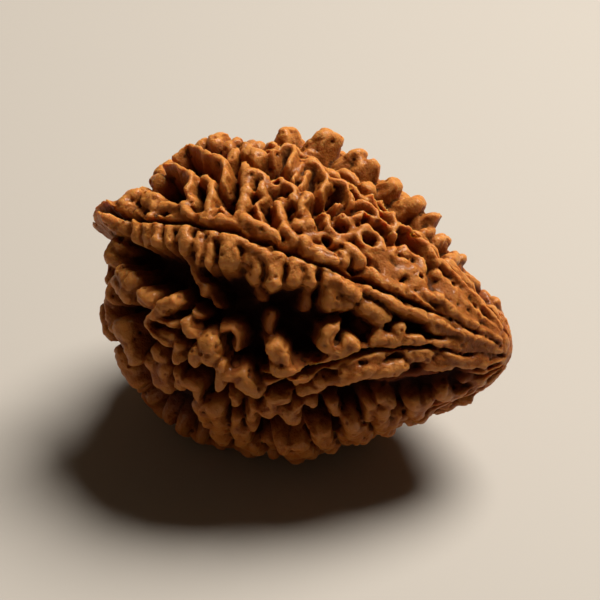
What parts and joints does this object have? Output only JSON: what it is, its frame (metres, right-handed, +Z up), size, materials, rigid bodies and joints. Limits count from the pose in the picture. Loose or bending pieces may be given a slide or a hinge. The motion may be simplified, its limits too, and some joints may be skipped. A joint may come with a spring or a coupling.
{
  "type": "rudraksha seed",
  "caption": "Drop-shaped rudraksha seed with a deeply knobbed and pitted surface, split lengthwise by narrow sutures that meet at a blunt nose.",
  "frame": {"origin": "middle of the bounding box at the ground the seed lies on", "axes": "+X along the seed towards its pointed end, +Z up as it rests"},
  "size_m": [0.0275, 0.0212, 0.0204],
  "materials": {
    "seed": "waxy semi-gloss"
  },
  "bodies": {
    "root": {"seed": "seed"}
  },
  "joints": []
}
